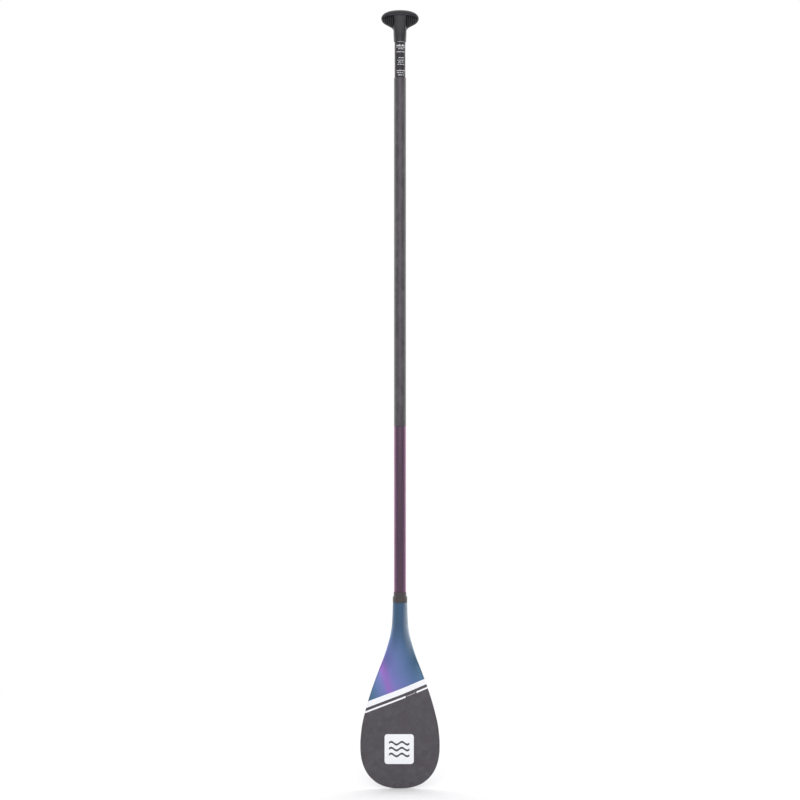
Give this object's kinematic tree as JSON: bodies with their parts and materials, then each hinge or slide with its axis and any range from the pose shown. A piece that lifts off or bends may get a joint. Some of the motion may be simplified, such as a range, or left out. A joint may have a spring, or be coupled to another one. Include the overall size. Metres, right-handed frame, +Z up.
{
  "type": "stand-up paddle",
  "caption": "Adjustable stand-up paddle: teardrop blade on a two-section tube shaft, with a sliding T-grip locked by a cam lever and a rubber expander.",
  "frame": {"origin": "on the shaft's axis, at the joint between the lower and the upper shaft", "axes": "+Z up the shaft to the grip, -Y the front towards which the blade leans, +Y the back with the lever, +X across the blade to the right seen from the front"},
  "size_m": [0.1938, 0.0686, 1.887],
  "materials": {
    "blade_paint": "blue to violet pearl lacquer over carbon, with white bands and mottled dark grey forged carbon below",
    "core_foam": "closed-cell foam",
    "collar_sleeve": "satin dark grey moulded sleeve",
    "lower_shaft_paint": "semi-gloss purple pearl lacquer over carbon tube",
    "grey_carbon": "mottled dark grey carbon, satin lacquer",
    "black_tube": "satin black composite tube with a white printed label",
    "black_plastic": "satin black moulded nylon",
    "expander_rubber": "black rubber",
    "composite_rod": "pultruded carbon rod",
    "bright_metal": "stainless steel"
  },
  "bodies": {
    "blade_section": {"blade_front_skin": "blade_paint", "blade_back_skin": "blade_paint", "blade_foam_core": "core_foam", "neck_collar": "collar_sleeve", "lower_shaft": "lower_shaft_paint", "lower_shaft_foam_plug": "core_foam", "ferrule": "black_tube", "button_spring": "bright_metal", "upper_shaft": "grey_carbon", "anti_twist_key": "bright_metal"},
    "snap_button": {"snap_button": "bright_metal"},
    "handle": {"adjust_tube": "black_tube", "tube_end_plug": "black_plastic", "expander_rubber": "expander_rubber", "cam_plate": "bright_metal", "grip_frame": "black_plastic", "grip_cap": "black_plastic", "grip_screw": "bright_metal"},
    "draw_rod": {"draw_rod": "composite_rod", "lever_pin": "bright_metal", "expander_washer": "bright_metal", "expander_nut": "bright_metal"},
    "lever": {"lever": "black_plastic"}
  },
  "joints": [
    {"name": "handle_slide", "type": "slide", "parent": "blade_section", "child": "handle", "axis": [0, 0, 1], "range_m": [-0.0866, 0.313]},
    {"name": "rod_draw", "type": "slide", "parent": "handle", "child": "draw_rod", "axis": [0, 0, -1], "range_m": [0, 0.0024]},
    {"name": "lever_open", "type": "hinge", "parent": "draw_rod", "child": "lever", "pos_m": [0, 0, 0.966], "axis": [1, 0, 0], "range_deg": [0, 80]},
    {"name": "button_press", "type": "slide", "parent": "blade_section", "child": "snap_button", "axis": [0, -1, 0], "range_m": [0, 0.003], "stiffness_N_per_m": 2000, "springref_m": -0.003, "deforming": ["button_spring"]}
  ],
  "couplings": [
    {"joint": "lever_open", "follows": "rod_draw", "rad_per_m": 581.78}
  ]
}
